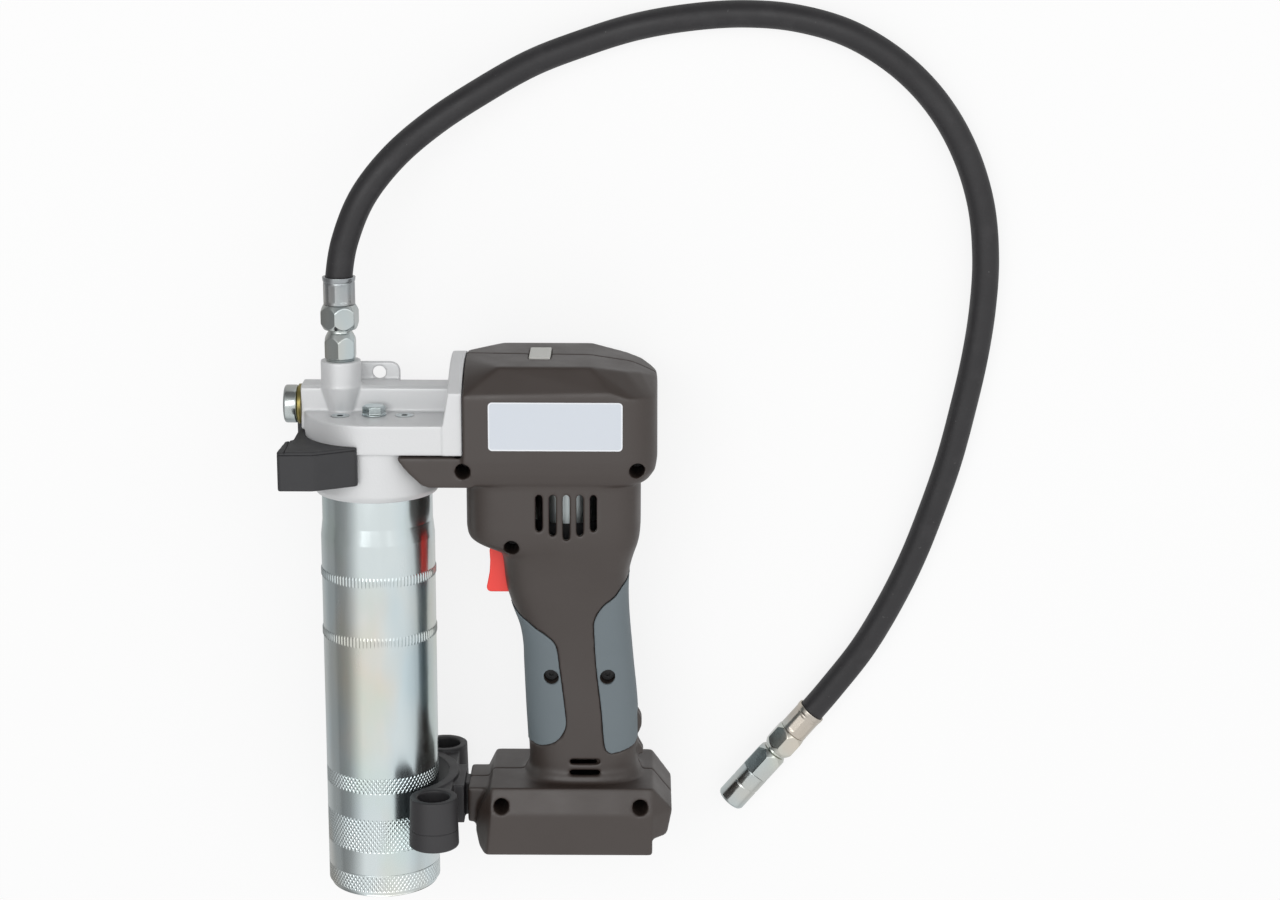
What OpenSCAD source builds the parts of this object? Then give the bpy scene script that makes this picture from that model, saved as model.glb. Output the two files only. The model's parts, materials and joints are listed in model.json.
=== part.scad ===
// Cordless grease gun with a steel barrel, a cast pump head, a moulded two-half housing
// with a pistol grip, a plug-in battery and a high-pressure hose with a grease coupler.
// Modelled upright: x to the right in the photograph, y away from the camera, z up the barrel,
// the barrel's axis at x = y = 0 and its bottom at z = 0. lay() then turns it onto its far side.

/* [Barrel] */
// Outer diameter of the grease barrel
barrel_d = 57; // [54:0.5:60]
// Length of the barrel from its bottom to its seat in the head
barrel_len = 222; // [210:1:236]
// Wall of the barrel tube
barrel_wall = 1; // [0.8:0.1:1.4]
// Step in radius where the tube is swaged at its ends
swage = 0.9; // [0.6:0.1:1.5]
// Length of the swaged neck below the tube's top end
neck_len = 32; // [26:1:36]
// Height of the end cap
cap_h = 13; // [10:1:16]

/* [Pump head] */
// Wall of the collar around the barrel's neck
collar_wall = 4.2; // [3.4:0.1:4.6]
// Depth of the collar below the plate
collar_depth = 25.5; // [24:0.5:30]
// Thickness of the head plate
plate_t = 15; // [14:0.5:18]
// Radius of the head plate's round end
plate_r = 35; // [34.4:0.1:36]
// Thickness of the flange that carries the gear case
flange_t = 7; // [5:0.5:9]
// Distance from the barrel's axis to the flange's gear side
flange_x = 45.2; // [44.4:0.2:46]
// Diameter of the pump piston
piston_d = 10; // [8:0.5:11]
// Stroke of the pump piston
stroke = 10; // [6:0.5:11]
// Diameter of the hole in the hanging lug
eye_d = 6.7; // [5:0.1:7.6]
// Width of the pump block
block_w = 17; // [16:0.5:19]
// Outer diameter of the closing plug's head
plug_d = 19; // [17:0.5:21]

/* [Outlet] */
// Width across flats of the adapter's hexagon
adapter_af = 14.7; // [13:0.1:16]
// Width across flats of the hose nut
nut_af = 17; // [15:0.1:18]
// Diameter of the hose
hose_d = 13.4; // [11:0.2:15]
// Bore of the grease coupler
coupler_bore = 9.6; // [8:0.2:10]

/* [Housing] */
// Wall of the moulded housing
wall = 3; // [2.4:0.1:3.4]
// Half width of the head of the housing
head_half = 38; // [37.4:0.1:39]
// Half width of the grip
grip_half = 20; // [19.4:0.1:21.5]
// Width of each air slot
vent_w = 3.3; // [2:0.1:4]
// Spacing of the air slots
vent_pitch = 6.65; // [6:0.05:7]
// Diameter of the screw wells
well_d = 7.6; // [7:0.1:8]
// Depth of the soft grip pads
pad_t = 1.4; // [1:0.1:1.8]
// Height of the pads above the housing
pad_proud = 0.4; // [0.2:0.1:0.8]

/* [Controls] */
// Width of the trigger
trigger_w = 16; // [12:0.5:18]
// Travel of the trigger
trigger_travel = 6; // [3:0.5:6.5]
// Width of the top button along the housing
button_l = 10.5; // [8:0.5:13]
// Width of the top button across the housing
button_w = 24; // [16:1:28]

/* [Battery] */
// Length of the battery pack
pack_l = 79; // [74:0.5:79.6]
// Width of the battery pack
pack_w = 56; // [52:0.5:57]

/* [Hose holder] */
// Radius of the saddle's inner face round the barrel
saddle_r = 34; // [33:0.2:35]
// Bore of the two hose cups
cup_bore = 16; // [14:0.5:17]
// Distance from the barrel's axis plane to a cup's axis
cup_y = 39; // [38:0.5:41]

/* [Hidden] */
$fn = 64;
e = 0.01;
gap = 0.2;

barrel_r = barrel_d / 2;
neck_r = barrel_r - swage;
top_z = 249;
plate_z = top_z - plate_t;
seat_z = plate_z - 10;
barrel_z = seat_z - 2 - barrel_len;
collar_r = neck_r + gap + collar_wall;
cart_r = neck_r - barrel_wall - gap;
pump_y = 4.5;
pump_z = top_z + 2;
lug_y = pump_y + block_w / 2;
bar_x0 = -plate_r - 1.5;
bar_top = top_z + 13;
boss = [-16.6, -1];
boss_top = bar_top + 12.5;
valve_r = 6.2;
ball_r = 4.5;
port_r = 3;
seat_x = -6;
ball_x = seat_x - sqrt(ball_r * ball_r - port_r * port_r) - 0.02;
tip_x = 4;
spring_end = bar_x0 + 10.5;

ad_z = boss_top;
nut_z = ad_z + 15.6;
fer_z = nut_z + 12.4;
hose_z = fer_z + 14;

// The head keeps its place: a longer barrel or a thicker plate reaches further down.
hx = flange_x + 0.3;
motor_x = 95.5;
case_z = top_z - 17;
cell_d = (pack_l - 3) / 5 - 0.2;

// Sections of the neck and grip: height, left edge, right edge, half width, squareness
gh = grip_half - 20;
grip_s = [[222, hx, 132, 34.5, 4.6], [195, hx, 132, 34.5, 4.6], [189.5, 46.8, 131.6, 34, 4.6],
    [186.3, 51.5, 131, 33.2, 4.6], [183.8, 57.5, 130.3, 32.2, 4.5], [181.3, 62, 129.4, 31.3, 4.4],
    [175, 63.4, 127.6, 29.2, 4.1], [168, 63.9, 126.2, 27.2, 3.8], [160, 65, 125.7, 25.4, 3.5],
    [150, 68, 125.8, 23.4 + gh / 2, 3.2], [140, 71.4, 126.4, 21.6 + gh, 3],
    [130, 73, 127.3, 20.5 + gh, 2.8], [119, 73.4, 128.3, 20 + gh, 2.7],
    [97, 74.3, 130.4, 20 + gh, 2.7], [80, 75.2, 130.9, 20 + gh, 2.7],
    [70, 75.6, 131, 20.2 + gh, 2.7], [65.4, 75.4, 131.1, 20.4 + gh, 2.7],
    [63.4, 74, 132.4, 21.8 + gh, 2.7], [59.6, 73.4, 133, 22.4 + gh, 2.7]];
// Sections of the foot: height, left edge, right edge, half width, corner cuts left, right and across
foot_s = [[60.5, 57, 138.5, 29, 0.5, 0.5, 0.5], [48, 50.5, 148.5, 34, 6.7, 10.5, 9],
    [36, 48.8, 146.4, 33, 7.2, 8.8, 10], [28, 50.6, 143, 32, 4.5, 5, 7],
    [25, 53, 139.5, 30.8, 1.4, 2, 2.5]];
screw_at = [[45.4, 226.6], [130, 227], [68.5, 187], [87.3, 116], [115.6, 116],
    [62.4, 51.8], [132.2, 51.4]];
head_y = -10;
pad_front = [[60, 152], [72.8, 146.7], [79.8, 141.5], [85.3, 137.9], [89.8, 132.6], [91.7, 120],
    [94.2, 99.4], [94.7, 90.3], [92.1, 84.4], [88.1, 80.7], [81.5, 78.5], [77.4, 79], [60, 81]];
pad_back = [[140, 178], [125.2, 166.2], [119.3, 158.9], [113.3, 154.2], [109.3, 147.4],
    [108.8, 140.6], [109.8, 121.7], [112.3, 99.4], [113.8, 81.3], [115.9, 76], [120.4, 75.5],
    [129, 77.6], [131, 79.8], [140, 86]];

// Rest on the far side: two small tilts bring the cup, the bumper and the housing to the floor.
tilt_x = -2.28;
tilt_y = 2.9;
rest = [-51.45, -144.52, 54.57];

grey = [0.31, 0.29, 0.28];
slate = [0.41, 0.45, 0.48];
alu = [0.72, 0.72, 0.71];
zinc = [0.78, 0.78, 0.76];
black = [0.13, 0.13, 0.14];

function ring(s, d, n = 32) = [for (i = [0:n - 1]) let (t = 360 * i / n, c = cos(t), k = sin(t))
    [(s[1] + s[2]) / 2 + ((s[2] - s[1]) / 2 - d) * sign(c) * pow(abs(c), 2 / s[4]),
     (s[3] - d) * sign(k) * pow(abs(k), 2 / s[4]), s[0]]];
function oct(s) = [for (a = [-1, 1]) each [[s[1] + s[4], a * s[3], s[0]], [s[2] - s[5], a * s[3], s[0]],
    [s[2], a * (s[3] - s[6]), s[0]], [s[1], a * (s[3] - s[6]), s[0]]]];
function span(n, k) = [for (i = [0:n - 1]) i + k * n];

module cloud(p) hull() polyhedron(points = p, faces = [span(len(p), 0)]);
module skin(list, d = 0, n = 32)
    for (i = [0:len(list) - 2]) cloud(concat(ring(list[i], d, n), ring(list[i + 1], d, n)));
module along_y(y0, y1) translate([0, y1, 0]) rotate([90, 0, 0])
    linear_extrude(height = y1 - y0) children();
module along_x(x0, x1) translate([x0, 0, 0]) rotate([90, 0, 90])
    linear_extrude(height = x1 - x0) children();
module rod_x(x0, x1, r, y = 0, z = 0) translate([x0, y, z]) rotate([0, 90, 0])
    cylinder(r = r, h = x1 - x0);
module rod_y(y0, y1, r, x = 0, z = 0) translate([x, y1, z]) rotate([90, 0, 0])
    cylinder(r = r, h = y1 - y0);
module box(a, b) translate(a) cube(b - a);
module tube(r1, r2, z0, z1) rotate_extrude() translate([r1, z0]) square([r2 - r1, z1 - z0]);
module hex(af, h) cylinder(r = af / sqrt(3), h = h, $fn = 6);
module lay() translate(rest) rotate([tilt_x, tilt_y, 0]) rotate([-90, 0, 0]) children();
module hang() translate([0, 0, barrel_z]) children();

// Barrel and cartridge

module barrel_tube() color(zinc) rotate_extrude() polygon([
    [neck_r - barrel_wall, 3], [neck_r, 3], [neck_r, cap_h - 0.4], [barrel_r, cap_h + 0.4],
    [barrel_r, barrel_len - neck_len - 4], [neck_r, barrel_len - neck_len + 4], [neck_r, barrel_len],
    [neck_r - barrel_wall, barrel_len]]);

module barrel_end_cap() color(zinc) rotate_extrude() polygon([
    [5, 0], [barrel_r - 3, 0], [barrel_r - 1, 0.9], [barrel_r, 3], [barrel_r, cap_h - 0.9],
    [barrel_r - 0.3, cap_h - 0.6], [neck_r + 0.1, cap_h - 0.6], [neck_r + 0.1, 2.9], [5, 2.9]]);

module barrel_seal() color(black) tube(20.5, neck_r, barrel_len + 0.05, barrel_len + 1.95);

module grease_cartridge() color([0.85, 0.86, 0.84]) rotate_extrude() polygon([
    [cart_r - 1.2, 5], [cart_r, 5], [cart_r, barrel_len - 3], [cart_r - 1, barrel_len - 1],
    [19.6, barrel_len - 1], [17.8, barrel_len + 1], [17.8, barrel_len + 10],
    [15.8, barrel_len + 10], [15.8, barrel_len - 2], [cart_r - 1.2, barrel_len - 4]]);

module follower() color([0.75, 0.2, 0.16]) rotate_extrude() polygon([
    [0, 20], [cart_r - 6, 20], [cart_r - 3, 12], [cart_r - 1.45, 11], [cart_r - 1.45, 27],
    [cart_r - 4, 27], [cart_r - 7, 24], [0, 24]]);

// Pump head

module lug_shape() {
    square([27.3, 16.6]);
    translate([5, 16.6]) circle(r = 5);
    translate([22.3, 16.6]) circle(r = 5);
    translate([5, 16.6]) square([17.3, 5]);
}

module pump_head() color(alu) difference() {
    union() {
        rotate_extrude() polygon([[neck_r + gap, plate_z - collar_depth],
            [collar_r - 2, plate_z - collar_depth], [collar_r, plate_z - collar_depth + 3],
            [collar_r, plate_z + 1], [18, plate_z + 1], [18, seat_z], [neck_r + gap, seat_z]]);
        translate([0, 0, plate_z]) linear_extrude(height = plate_t) {
            circle(r = plate_r);
            translate([0, -plate_r]) square([flange_x - 1, 2 * plate_r]);
        }
        intersection() {
            along_x(30, flange_x) intersection() {
                translate([-plate_r - 0.5, plate_z]) square([2 * plate_r + 1, 60]);
                translate([0, top_z - 26]) circle(r = 55);
            }
            along_y(-60, 60) polygon([[flange_x - flange_t - 2.6, plate_z],
                [flange_x - flange_t - 2.6, top_z], [flange_x - flange_t, top_z + 15],
                [flange_x - flange_t + 0.4, top_z + 50], [flange_x, top_z + 50],
                [flange_x, plate_z]]);
        }
        along_x(bar_x0, flange_x - 1) translate([pump_y, 0]) polygon([
            [-block_w / 2, plate_z + 6], [-block_w / 2, bar_top - 1.5],
            [-block_w / 2 + 1.5, bar_top], [block_w / 2 - 1.5, bar_top],
            [block_w / 2, bar_top - 1.5], [block_w / 2, plate_z + 6]]);
        translate([boss[0], boss[1], top_z - 2]) cylinder(r1 = 6, r2 = 10.2, h = bar_top - top_z + 2);
        translate([boss[0], boss[1], bar_top - e]) cylinder(r = 9.9, h = boss_top - bar_top + e);
        along_y(lug_y - e, lug_y + 3) translate([-16, top_z - e]) lug_shape();
    }
    // eye of the hanging lug
    rod_y(lug_y - 2 * e, 30, eye_d / 2, 0.9, top_z + 16.2);
    // cylinder of the pump, port and valve chamber
    rod_x(tip_x - 3, 60, piston_d / 2 + 0.05, pump_y, pump_z);
    rod_x(-20, 6, port_r, pump_y, pump_z);
    rod_x(bar_x0 - 1, seat_x, valve_r, pump_y, pump_z);
    // outlet
    translate([boss[0], boss[1], pump_z]) cylinder(r = 3, h = 40);
    translate([boss[0], boss[1], boss_top - 11]) cylinder(r = 6.6, h = 20);
    // inlet from the cartridge
    translate([0, 0, plate_z - 4]) cylinder(r = 15.8, h = 7);
    translate([tip_x + stroke - 4, pump_y, plate_z]) cylinder(r = 3, h = pump_z - plate_z);
    // bolt and screws in the plate
    translate([0.4, -11.6, top_z - 10]) cylinder(r = 3.1, h = 20);
    for (p = [[-16.2, -13], [15.4, -11.3]]) translate([p[0], p[1], top_z - 11]) {
        cylinder(r = 2.6, h = 20);
        translate([0, 0, 11 - 2.2]) cylinder(r1 = 2.6, r2 = 4.8, h = 2.2 + e);
    }
}

module outlet_plug() color(zinc) difference() {
    translate([0, pump_y, pump_z]) rotate([0, 90, 0]) rotate_extrude() polygon([
        [0, bar_x0 - 9], [plug_d / 2 - 1.6, bar_x0 - 9], [plug_d / 2, bar_x0 - 7.4],
        [plug_d / 2, bar_x0 - 2], [valve_r - 0.1, bar_x0 - 2], [valve_r - 0.1, spring_end],
        [0, spring_end]]);
    translate([bar_x0 - 9.5, pump_y, pump_z]) rotate([0, 90, 0]) hex(8, 6);
}

module sealing_washer() color([0.6, 0.55, 0.36]) translate([0, pump_y, pump_z]) rotate([0, 90, 0])
    tube(valve_r, plug_d / 2 + 0.5, bar_x0 - 1.95, bar_x0 - 0.05);

module coil(r, w, x0, x1, turns) {
    n = turns * 8;
    rings = [for (i = [0:n]) let (t = 45 * i, x = x0 + w / 2 + (x1 - x0 - w) * i / n)
        for (k = [0:5]) let (c = (r - w / 2) + w / 2 * cos(60 * k))
            [x + w / 2 * sin(60 * k), c * cos(t), c * sin(t)]];
    polyhedron(points = rings, faces = concat([[5, 4, 3, 2, 1, 0], [for (k = [0:5]) n * 6 + k]],
        [for (i = [0:n - 1]) for (k = [0:5]) let (a = i * 6 + k, b = i * 6 + (k + 1) % 6)
            [a, b, b + 6]], [for (i = [0:n - 1]) for (k = [0:5])
                let (a = i * 6 + k, b = i * 6 + (k + 1) % 6) [a, b + 6, a + 6]]));
}

module valve_spring() color(zinc) translate([0, pump_y, pump_z])
    coil(4, 0.8, spring_end + 0.1, ball_x - 3.4, 6);

module valve_ball() color(zinc) translate([ball_x, pump_y, pump_z]) sphere(r = ball_r);

module pump_piston() color(zinc) {
    rod_x(tip_x, 70, piston_d / 2, pump_y, pump_z);
    rod_x(69, 76, piston_d / 2 + 4, pump_y, pump_z);
}

module bleed_bolt() color(zinc) translate([0.4, -11.6, top_z]) {
    translate([0, 0, 0.05]) cylinder(r = 6, h = 0.9);
    translate([0, 0, 0.9]) rotate([0, 0, 12]) hex(10, 4);
    translate([0, 0, -9]) cylinder(r = 3, h = 10);
}

module plate_screws() color(zinc) for (p = [[-16.2, -13], [15.4, -11.3]])
    translate([p[0], p[1], top_z]) difference() {
        union() {
            translate([0, 0, -2.1]) cylinder(r1 = 2.45, r2 = 4.6, h = 2.1);
            translate([0, 0, -10]) cylinder(r = 2.45, h = 8);
        }
        translate([0, 0, -1.8]) hex(3, 4);
    }

bumper = [[-38.6, -19.5], [-42.2, -24], [-43.4, -45.6], [-42, -47], [-26, -46.5], [-24, -45.6],
    [-7, -36.6], [-6, -35.4], [-6, -28]];

module side_bumper() color(black) difference() {
    translate([0, 0, plate_z - 15]) linear_extrude(height = 19.4)
        polygon(concat(bumper, [for (i = [8:-1:0]) [bumper[i][0], -bumper[i][1]]]));
    translate([0, 0, plate_z - 16]) cylinder(r = collar_r + 0.1, h = 30);
    translate([0, 0, plate_z - 0.15]) cylinder(r = plate_r + 0.15, h = 30);
}

module outlet_adapter() color(zinc) translate([boss[0], boss[1], ad_z]) difference() {
    union() {
        translate([0, 0, -10.5]) cylinder(r = 6.5, h = 12);
        translate([0, 0, 0.05]) cylinder(r = 6.9, h = 1.4);
        intersection() {
            translate([0, 0, 1.2]) rotate([0, 0, 30]) hex(adapter_af, 12.6);
            translate([0, 0, 1.2]) cylinder(r1 = adapter_af / 2 + 13, r2 = adapter_af / 2 - 0.2, h = 12.8);
        }
        translate([0, 0, 13]) cylinder(r = 6, h = 2.5);
    }
    translate([0, 0, -12]) cylinder(r = 2.5, h = 40);
}

// Drive

module gear_case() color([0.5, 0.5, 0.5]) difference() {
    union() {
        box([flange_x + 0.05, -29, case_z], [122, 29, case_z + 34]);
        rod_x(flange_x + 0.05, 62, 11, pump_y, pump_z);
    }
    rod_x(40, 64, piston_d / 2 + 0.05, pump_y, pump_z);
    box([62, pump_y - 14, pump_z - 10], [76.5 + stroke + 16, pump_y + 14, pump_z + 10]);
    translate([motor_x, 0, case_z - 1]) cylinder(r = 4, h = 7);
}

module motor_can() color(zinc) translate([motor_x, 0, 0]) difference() {
    translate([0, 0, case_z - 36]) cylinder(r = 19, h = 35.95);
    translate([0, 0, case_z - 37]) cylinder(r = 17.4, h = 33.5);
    translate([0, 0, case_z - 10]) cylinder(r = 2.56, h = 20);
}

module motor_endbell() color(black) translate([motor_x, 0, 0]) difference() {
    union() {
        translate([0, 0, case_z - 48]) cylinder(r = 18.2, h = 11.9);
        translate([0, 0, case_z - 37]) cylinder(r = 17.3, h = 4);
    }
    translate([0, 0, case_z - 45]) cylinder(r = 14, h = 20);
    translate([0, 0, case_z - 60]) cylinder(r = 2.56, h = 40);
}

module motor_rotor() color([0.45, 0.32, 0.22]) translate([motor_x, 0, 0]) {
    translate([0, 0, case_z - 56]) cylinder(r = 2.5, h = 60);
    translate([0, 0, case_z - 30]) cylinder(r = 15.5, h = 24);
    translate([0, 0, case_z - 42]) cylinder(r = 9, h = 12.5);
    translate([0, 0, case_z - 55.5]) cylinder(r = 15, h = 1.5);
    for (a = [0:45:315]) rotate([0, 0, a]) translate([4, -0.6, case_z - 54.2]) cube([11, 1.2, 4.5]);
}

// Housing

function head_plan(z, xr, b, r, x0) = concat([[x0, -b, z], [x0, b, z]],
    [for (a = [0:11.25:90]) for (s = [-1, 1]) [xr - r + r * sin(a), s * (b - r + r * cos(a)), z]]);
function arch(x0, d) = [for (y = [-1:0.125:1]) let (h = head_half - d)
    [x0, y * h, sqrt(58 * 58 - y * y * h * h) + 220.1 - d]];

// Points of the right shoulder: x, y, z
shoulder = [[124.4, 24, 274], [126.6, 0, 274.4], [131.75, 18, 272.4], [136.9, 12, 269.8],
    [139.4, 8, 268], [139.5, 0, 268.8], [140, 0, 265.5]];

module head_block(d, x0) cloud(concat(
    head_plan(218.6 + d * 1.2, 133 - d, head_half - 3.4 - d, 14 - d, x0),
    head_plan(220.6 + d, 136 - d, head_half - 1.8 - d, 16 - d, x0),
    head_plan(225 + d * 0.5, 139 - d, head_half - 0.5 - d, 16.5 - d, x0),
    head_plan(231, 140 - d, head_half - d, 17 - d, x0),
    head_plan(263, 139.6 - d, head_half - d, 17 - d, x0),
    [for (s = [-1, 1]) for (x = [63, 107]) [x - (x > 80 ? d : 0), s * (30 - d / 2), 277.4 - d]],
    [for (s = [-1, 1]) [118, s * (head_half - d), 265.5 - d]],
    [for (s = [-1, 1]) for (p = shoulder) [p[0] - d, s * p[1], p[2] - d]], arch(x0, d)));

module outer(d = 0, n = 32) {
    head_block(d, d > 0 ? hx - 4 : hx);
    cloud(concat(ring(grip_s[1], d, n), [for (p = ring(grip_s[0], d, n)) p + [0, 0, d > 0 ? 10 : 0]]));
    skin([for (i = [1:len(grip_s) - 1]) grip_s[i]], d, n);
}

module foot_out() {
    for (i = [0:3]) cloud(concat(oct(foot_s[i]), oct(foot_s[i + 1])));
    box([44.6, -17.5, 37.5], [55, 17.5, 56.2]);
}

module foot_in() {
    box([57.5 - gap, -pack_w / 2 - gap, 20], [57.5 + pack_l + gap, pack_w / 2 + gap, 47]);
    cloud(concat(ring([46.9, 56, 142, 29.5, 8], 0, 20), ring([57.6, 62, 133.5, 25, 8], 0, 20)));
    cloud(concat(ring(grip_s[18], wall, 20), ring([55, 75, 131, 20, 2.7], wall, 20)));
}

module arms() difference() {
    along_y(-36, 36) polygon([[13.2, plate_z - 0.6], [50, plate_z - 0.6], [50, plate_z - 16],
        [28.5, plate_z - 16], [25, plate_z - 14.6], [19, plate_z - 9], [14.2, plate_z - 3]]);
    translate([0, 0, plate_z - 40]) cylinder(r = collar_r + 0.2, h = 60);
    box([0, -29, plate_z - 40], [38, 29, plate_z + 10]);
}

module pad_cut(list, c) along_y(-60, 60) offset(delta = c) polygon(list);

module trigger_slot() along_y(-trigger_w / 2 - gap, trigger_w / 2 + gap) polygon([
    [45, 157.1], [71 + trigger_travel, 157.1], [71 + trigger_travel, 182.9],
    [61.3 + trigger_travel, 182.9], [57.2 + trigger_travel, 184.5], [45, 184.5]]);

module strap_lugs() {
    along_y(-5, 5) polygon([[126, 92], [131.6, 92], [132.9, 89], [132.9, 85], [131.6, 82], [126, 82]]);
    along_y(-5, 5) polygon([[126, 76], [131.5, 76], [134, 71.5], [134, 70], [126, 70]]);
}

module shell($fn = 20) difference() {
    union() {
        difference() {
            union() {
                outer();
                foot_out();
                arms();
                strap_lugs();
            }
            outer(wall, 20);
            foot_in();
        }
        intersection() {
            union() {
                for (p = screw_at) rod_y(-45, 45, 5, p[0], p[1]);
                // ribs that hold the switch
                for (x = [80, 96]) box([x, -40, 151], [x + 2, -10.1, 175]);
                for (x = [80, 96]) box([x, 10.1, 151], [x + 2, 40, 175]);
            }
            union() {
                outer();
                foot_out();
            }
        }
    }
    // room for the drive, the collar and the trigger
    box([30, -29.2, case_z - 0.2], [122.2, 29.2, case_z + 34.2]);
    translate([0, 0, plate_z - 40]) cylinder(r = collar_r + 0.2, h = 42);
    trigger_slot();
    // button
    translate([82, 0, 270]) cube([button_l + 2 * gap, button_w + 2 * gap, 30], center = true);
    // air slots
    for (i = [-2:2]) along_y(-60, 60) hull() {
        translate([motor_x + i * vent_pitch, 212.8]) circle(d = vent_w);
        translate([motor_x + i * vent_pitch, 193 + abs(i) * 2.25]) circle(d = vent_w);
    }
    for (z = [71.2, 65.6]) along_y(-60, -17) hull()
        for (x = [97.6, 110.8]) translate([x, z]) circle(d = 2.6);
    // screws
    for (p = screw_at) {
        rod_y(-60, head_y, well_d / 2, p[0], p[1]);
        rod_y(-60, 0.1, 2.1, p[0], p[1]);
        rod_y(0, 13, 2, p[0], p[1]);
    }
    // notch beside the battery, and the rail for the hose holder
    along_y(-60, 60) polygon([[138.5, 20], [138.5, 34], [160, 34], [160, 20]]);
    box([44, -7.2, 37], [47, 7.2, 55]);
    box([46.2, -11.2, 37], [48.6, 11.2, 55]);
    // recesses of the pads
    for (l = [pad_front, pad_back]) difference() {
        pad_cut(l, 0.08);
        skin([for (i = [6:17]) grip_s[i]], pad_t + 0.05);
        translate([0, 0, 60]) cube([400, 400, 16], center = true);
        translate([130, 0, 81]) cube([20, 10.2, 24], center = true);
    }
}

module front_housing() color(grey) intersection() {
    shell();
    box([0, -80, 0], [200, -0.02, 320]);
}

module rear_housing() color(grey) intersection() {
    shell();
    box([0, 0.02, 0], [200, 80, 320]);
}

module housing_screws() color([0.2, 0.2, 0.2]) for (p = screw_at)
    translate([p[0], 0, p[1]]) difference() {
        union() {
            rod_y(-10 - 2.6, -10.05, 3.4);
            rod_y(-11, 12.5, 1.9);
        }
        translate([0, -11.4, 0]) rotate([90, 0, 0]) cylinder(r = 1.5, h = 3, $fn = 6);
    }

module pad(list, y0, y1) color(slate) difference() {
    intersection() {
        skin([for (i = [6:17]) grip_s[i]], -pad_proud);
        pad_cut(list, -0.08);
        box([0, y0, 68.2], [200, y1, 178]);
    }
    skin([for (i = [6:17]) grip_s[i]], pad_t);
    for (p = screw_at) rod_y(-60, head_y, well_d / 2, p[0], p[1]);
    translate([130, 0, 81]) cube([20, 10.4, 24], center = true);
}
module grip_pad_front_near() pad(pad_front, -40, -0.05);
module grip_pad_back_near() pad(pad_back, -40, -0.05);
module grip_pad_front_far() pad(pad_front, 0.05, 40);
module grip_pad_back_far() pad(pad_back, 0.05, 40);

// Controls

module trigger() color([0.85, 0.16, 0.14]) difference() {
    along_y(-trigger_w / 2, trigger_w / 2) polygon([[57, 184.2], [56.6, 180], [56.3, 178.6],
        [56.6, 173.5], [56.3, 167.8], [55.2, 162.1], [54.7, 159.6], [55.2, 158], [56.6, 157.3],
        [70.5, 157.3], [70.5, 182.6], [61, 182.6]]);
    rod_x(68, 72, 4.2, 0, 171);
}

module trigger_spring() color(zinc) translate([0, 0, 171])
    coil(3.6, 0.7, 68.1, 71.4 + trigger_travel, 5);

module switch_body() color(black) {
    box([71.5 + trigger_travel, -10, 152], [100, 10, 175]);
    box([86, -7, 144], [98, 7, 152.1]);
}

module top_button() color([0.74, 0.74, 0.72]) translate([82, 0, 0]) {
    translate([-button_l / 2, -button_w / 2, 270]) cube([button_l, button_w, 8.6]);
    translate([-button_l / 2 - 1.5, -button_w / 2 - 1.5, 270])
        cube([button_l + 3, button_w + 3, 2]);
}

// Battery

module battery_case() color(black) difference() {
    union() {
        box([57.5, -pack_w / 2, 25.2], [57.5 + pack_l, pack_w / 2, 46]);
        box([78, -15, 45.9], [126, 15, 56.4]);
    }
    box([59, -pack_w / 2 + 1.4, 27.2], [56 + pack_l, pack_w / 2 - 1.4, 44.4]);
    box([80, -13, 45], [124, 13, 54.4]);
}

module battery_cells() color([0.25, 0.42, 0.6]) for (i = [0:4])
    rod_y(3 - pack_w / 2, pack_w / 2 - 3, cell_d / 2, 57.5 + pack_l / 2 + (i - 2) * (cell_d + 0.2),
        27.3 + cell_d / 2);

// Hose holder

module cup(s) translate([29, s * cup_y, 34]) rotate_extrude() polygon([[0, 0], [11.7, 0], [12.5, 0.8],
    [11.8, 26], [cup_bore / 2 + 0.6, 26], [cup_bore / 2, 25.4], [cup_bore / 2, 4], [0, 4]]);

module hose_holder() color(black) {
    difference() {
        union() {
            translate([0, 0, 34]) cylinder(r = saddle_r + 5, h = 25);
            box([25, -cup_y, 34], [37, cup_y, 58]);
            box([35.4, -15.7, 36.5], [42.6, 15.7, 56.6]);
        }
        translate([0, 0, 0]) cylinder(r = saddle_r, h = 100);
        box([-60, -60, 0], [22, 60, 100]);
        for (s = [-1, 1]) translate([29, s * cup_y, 0]) cylinder(r = 10, h = 100);
        for (s = [-1, 1]) translate([44, s * 40, 0]) cylinder(r = 10, h = 100);
    }
    for (s = [-1, 1]) cup(s);
    box([42.5, -7, 37.7], [46.5, 7, 54.8]);
    box([46.4, -11, 37.7], [48.4, 11, 54.8]);
}

// Hose, swept along points chosen by eye: out of the ferrule, down to the floor and round to its tip.
// The points are in the laid-down frame, in mm.
hose_pts = [[-68.5, 160, 44.3], [-68.5, 172, 43.8], [-65, 190, 43], [-56, 211, 42], [-41, 230, 38],
    [-22, 246, 32], [0, 260, 24.5], [24, 273, 16.5], [48, 282, 10.6], [74, 290, 7.2],
    [101, 295, 6.8], [128, 297, 6.8], [154, 295, 6.8], [180, 287.5, 6.8], [204, 273, 6.8],
    [223, 254, 6.8], [237, 231, 6.8], [246, 205, 6.8], [249.5, 178, 6.8], [249, 152, 6.8],
    [246, 126, 6.8], [241, 99, 6.8], [235, 72, 6.8], [227, 45, 6.8], [218, 19, 6.8],
    [207, -6, 6.8], [194, -30, 7.1], [179, -51, 8.1], [168.5, -64.5, 8.8], [161.2, -73.5, 8.8]];
tip_turn = -129.2;

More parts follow.
